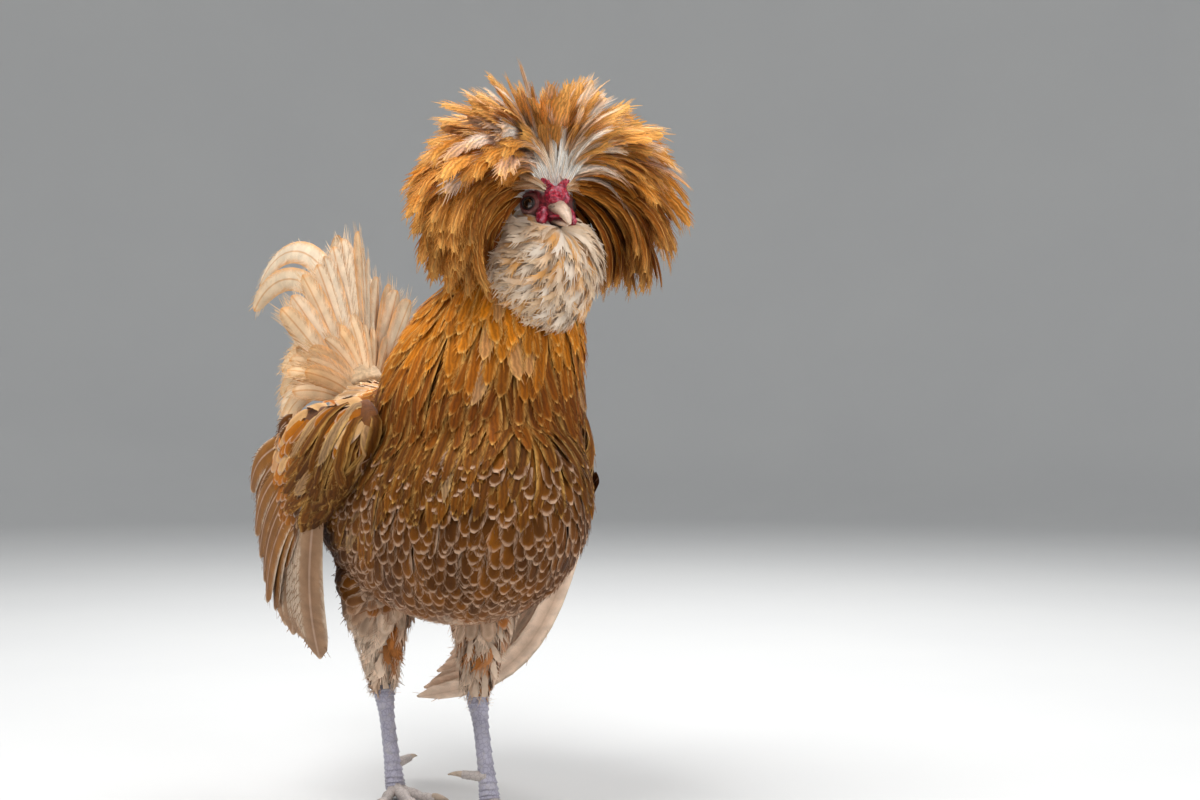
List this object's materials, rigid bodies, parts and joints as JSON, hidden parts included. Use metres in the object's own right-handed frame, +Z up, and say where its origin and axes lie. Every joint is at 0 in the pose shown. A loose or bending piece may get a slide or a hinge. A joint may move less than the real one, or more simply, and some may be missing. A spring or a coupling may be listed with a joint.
{
  "type": "polish crested cock, still model",
  "caption": "Life-size still model of a crested, bearded cock standing with one leg forward, for display or as a scene figure.",
  "frame": {"origin": "bottom centre of the bounding box, on the floor the bird stands on", "axes": "+Z up, the bird faces -Y, its own left side is at +X"},
  "size_m": [0.232, 0.535, 0.5048],
  "materials": {
    "beak": "pale horn, satin",
    "beard": "soft cream feathers flecked with buff",
    "claw": "pale horn",
    "comb": "granular wet crimson skin",
    "crest": "loose golden buff feathers, satin",
    "eye": "glossy dark brown",
    "body_plumage": "feathers, buff with pale lacing, satin",
    "hackle": "narrow golden feathers with pale edges, satin",
    "shank": "slate grey scales",
    "tail": "cream feathers with buff shafts and edges",
    "wing": "stiff buff feathers with pale edges"
  },
  "bodies": {
    "root": {"beak_lower": "beak", "beak_upper": "beak", "beard": "beard", "claw_hind_left": "claw", "claw_hind_right": "claw", "claw_inner_left": "claw", "claw_inner_right": "claw", "claw_middle_left": "claw", "claw_middle_right": "claw", "claw_outer_left": "claw", "claw_outer_right": "claw", "comb": "comb", "crest": "crest", "eye_left": "eye", "eye_right": "eye", "head": "body_plumage", "neck": "hackle", "shank_left": "shank", "shank_right": "shank", "tail": "tail", "thigh_left": "body_plumage", "thigh_right": "body_plumage", "toe_hind_left": "shank", "toe_hind_right": "shank", "toe_inner_left": "shank", "toe_inner_right": "shank", "toe_middle_left": "shank", "toe_middle_right": "shank", "toe_outer_left": "shank", "toe_outer_right": "shank", "torso": "body_plumage", "wattle_left": "comb", "wattle_right": "comb", "wing_left": "wing", "wing_right": "wing"}
  },
  "joints": []
}
